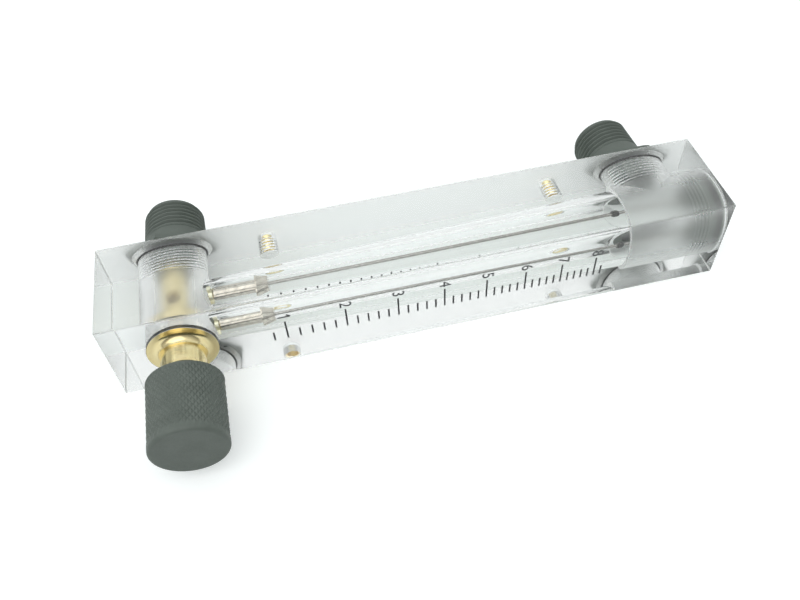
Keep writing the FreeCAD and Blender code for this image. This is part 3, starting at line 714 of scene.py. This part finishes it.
def add_figure(mesh, text, x, z):
    """A printed figure that reads with the meter upright, its top towards the outlet."""
    height = 4.0 * MM
    curve = bpy.data.curves.new("figure", "FONT")
    curve.body = text
    curve.align_x = "CENTER"
    curve.align_y = "CENTER"
    curve.size = height * 1.38
    curve.extrude = 0.02 * MM
    curve.resolution_u = 4
    curve.offset = 0.0 if text == "4" else 0.012 * MM
    holder = bpy.data.objects.new("figure", curve)
    bpy.context.scene.collection.objects.link(holder)
    shape = shape_of(holder)
    across, along, out = Vector((0, 0, -1)), Vector((1, 0, 0)), Vector((0, -1, 0))
    turn = Matrix((across, along, out)).transposed().to_4x4()
    shape.transform(Matrix.Translation((x, front_y + 0.008 * MM, z)) @ turn)
    mesh.from_mesh(shape)
    bpy.data.objects.remove(holder)
    bpy.data.curves.remove(curve)
    bpy.data.meshes.remove(shape)


def add_one(mesh, x, z):
    """The figure one: a stem and a short slanting flag, its top towards the outlet."""
    half, stroke, reach = 2.0 * MM, 0.27 * MM, 0.75 * MM
    add_mark(mesh, x - half, x + half, z - stroke, z + stroke)
    flag = add_mark(mesh, -reach, reach, -stroke, stroke)
    tip = Matrix.Translation((x + half - 0.6 * MM, 0.0, z + 0.5 * MM))
    lean = Matrix.Rotation(math.radians(42), 4, "Y")
    bmesh.ops.transform(mesh, matrix=tip @ lean, verts=flag)


def make_scale():
    """Five marks to a figure from one to eight, and a dash by the flange."""
    ink = make_ink()
    marks = bmesh.new()
    half_width = 0.28 * MM
    foot, minor_top, major_top, figure_z = 11.6 * MM, 15.6 * MM, 19.9 * MM, 22.1 * MM
    for step in range(4, 42):
        x = mark_x(step / 5)
        top = major_top if step % 5 == 0 else minor_top
        add_mark(marks, x - half_width, x + half_width, foot, top)
    dash_x, dash_half = block_low.x + 35.2 * MM, 0.65 * MM
    add_mark(marks, dash_x - dash_half, dash_x + dash_half, 13.5 * MM, 14.0 * MM)
    make_piece("scale_marks", marks, Matrix.Identity(4), ink, "housing")
    figures = bmesh.new()
    add_one(figures, mark_x(1), figure_z)
    for value in range(2, 9):
        add_figure(figures, str(value), mark_x(value), figure_z)
    bmesh.ops.remove_doubles(figures, verts=figures.verts, dist=0.0001 * MM)
    make_piece("scale_figures", figures, Matrix.Identity(4), ink, "housing")


make_scale()


# --- Stage, light and camera -------------------------------------------------------------------


def make_floor():
    """Pale floor just under the block, lifted to white where it is looked at."""
    mesh = bmesh.new()
    bmesh.ops.create_grid(mesh, x_segments=1, y_segments=1, size=2.0)
    bmesh.ops.translate(mesh, vec=(0.0, 0.0, -0.05 * MM), verts=mesh.verts)
    data = bpy.data.meshes.new("floor")
    mesh.to_mesh(data)
    mesh.free()
    floor = bpy.data.objects.new("floor", data)
    bpy.context.scene.collection.objects.link(floor)
    material, nodes, shader, _ = new_material("pale_floor")
    nodes.feed(shader.inputs["Base Color"], (0.8, 0.82, 0.82, 1.0))
    shader.inputs["Roughness"].default_value = 0.9
    shader.inputs["Specular IOR Level"].default_value = 0.0
    nodes.feed(shader.inputs["Emission Color"], (0.97, 1.0, 1.0, 1.0))
    nodes.feed(shader.inputs["Emission Strength"], lifted(nodes, 0.36, 0.14))
    data.materials.append(material)


def lifted(nodes, direct, indirect):
    """A lift for what is seen directly, and a lesser one for what is mirrored or seen through."""
    light = nodes.add("LightPath").outputs
    passed = nodes.math("MAXIMUM", light["Is Glossy Ray"], light["Is Transmission Ray"])
    straight = nodes.math("MULTIPLY", light["Is Camera Ray"], direct)
    return nodes.math("MAXIMUM", straight, nodes.math("MULTIPLY", passed, indirect))


def make_world():
    """Soft studio surround, seen as white: pale overhead and behind, darker low down in front."""
    world = bpy.data.worlds.new("studio")
    bpy.context.scene.world = world
    world.use_nodes = True
    nodes = Nodes(world.node_tree)
    background = world.node_tree.nodes["Background"]
    direction = nodes.add("TexCoord").outputs["Generated"]
    _, depth, height = nodes.split(direction)
    share = nodes.ramp(nodes.math("ADD", height, nodes.math("MULTIPLY", depth, 0.6)), -0.45, 0.9)
    tone = nodes.blend(share, (0.22, 0.22, 0.21, 1.0), (0.88, 0.9, 0.9, 1.0))
    light = nodes.add("LightPath").outputs
    shown = nodes.blend(light["Is Camera Ray"], tone, (1.0, 1.0, 1.0, 1.0))
    nodes.feed(background.inputs["Color"], shown)
    background.inputs["Strength"].default_value = 1.0


def make_lamp():
    """One large soft lamp, high up in front and to the inlet side, aimed at the block."""
    lamp = bpy.data.lights.new("window_light", "AREA")
    lamp.shape = "SQUARE"
    lamp.size = 1.6
    lamp.energy = 7.0
    holder = bpy.data.objects.new("window_light", lamp)
    bpy.context.scene.collection.objects.link(holder)
    holder.location = (-0.4, -0.5, 1.1)
    holder.rotation_euler = (-holder.location).to_track_quat("-Z", "Y").to_euler()


def make_camera():
    """The viewing angle: from the front and above, turned a little to the inlet side."""
    azimuth, elevation, roll = (math.radians(angle) for angle in (-9.9375, 50.589, -3.853))
    back = Vector(
        (
            math.sin(azimuth) * math.cos(elevation),
            -math.cos(azimuth) * math.cos(elevation),
            math.sin(elevation),
        )
    )
    level = (-back).cross(Vector((0.0, 0.0, 1.0))).normalized()
    upright = level.cross(-back)
    right = math.cos(roll) * level + math.sin(roll) * upright
    up = -math.sin(roll) * level + math.cos(roll) * upright
    data = bpy.data.cameras.new("camera")
    data.sensor_width = 36.0
    data.lens = 35.12
    data.clip_start = 0.01
    camera = bpy.data.objects.new("camera", data)
    bpy.context.scene.collection.objects.link(camera)
    turn = Matrix((right, up, back)).transposed().to_4x4()
    stand = Vector((-36.96, -172.44, 210.38)) * MM
    camera.matrix_world = Matrix.Translation(stand) @ turn
    bpy.context.scene.camera = camera


make_floor()
make_world()
make_lamp()
make_camera()

scene = bpy.context.scene
scene.view_settings.view_transform = "Standard"
scene.cycles.max_bounces = 24
scene.cycles.transmission_bounces = 20
scene.cycles.glossy_bounces = 12
scene.cycles.transparent_max_bounces = 24
